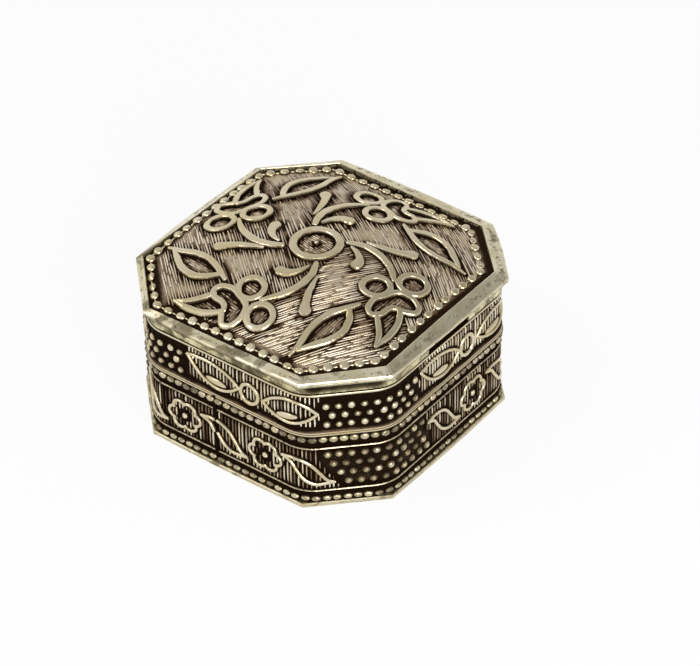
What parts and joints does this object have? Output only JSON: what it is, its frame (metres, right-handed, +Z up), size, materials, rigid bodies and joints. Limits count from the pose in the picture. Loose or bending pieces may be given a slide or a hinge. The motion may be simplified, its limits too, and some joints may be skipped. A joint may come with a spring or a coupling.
{
  "type": "hinged pill box",
  "caption": "Small octagonal metal pill box with a domed, hinged lid, a floral relief on it, beaded ornament strips round the wall and a thumb notch.",
  "frame": {"origin": "centre of the base plate's underside", "axes": "+Z up, +Y towards the hinge side, -Y towards the thumb notch, +X along the hinge axis"},
  "size_m": [0.04, 0.0417, 0.0234],
  "materials": {
    "relief_silver": "nickel silver (a white brass), stamped relief with a black-brown patina in the recesses and rubbed bright crests",
    "plain_silver": "nickel silver, smooth and lightly scuffed, thin grey patina",
    "hinge_silver": "nickel silver tube and strip, darkened",
    "pin_wire": "drawn wire with riveted ends"
  },
  "bodies": {
    "base": {"base_plate": "plain_silver", "inner_wall": "plain_silver", "lower_strip": "relief_silver", "upper_strip": "relief_silver", "base_hinge_bearer": "hinge_silver", "base_knuckle_left": "hinge_silver", "base_knuckle_middle": "hinge_silver", "base_knuckle_right": "hinge_silver", "hinge_pin": "pin_wire"},
    "lid": {"lid_plate": "relief_silver", "lid_rim": "plain_silver", "lid_flange": "plain_silver", "lid_hinge_bearer": "hinge_silver", "lid_knuckle_left": "hinge_silver", "lid_knuckle_right": "hinge_silver"}
  },
  "joints": [
    {"name": "lid_hinge", "type": "hinge", "parent": "base", "child": "lid", "pos_m": [0, 0.0204, 0.01747], "axis": [-1, 0, 0], "range_deg": [0, 105]}
  ]
}
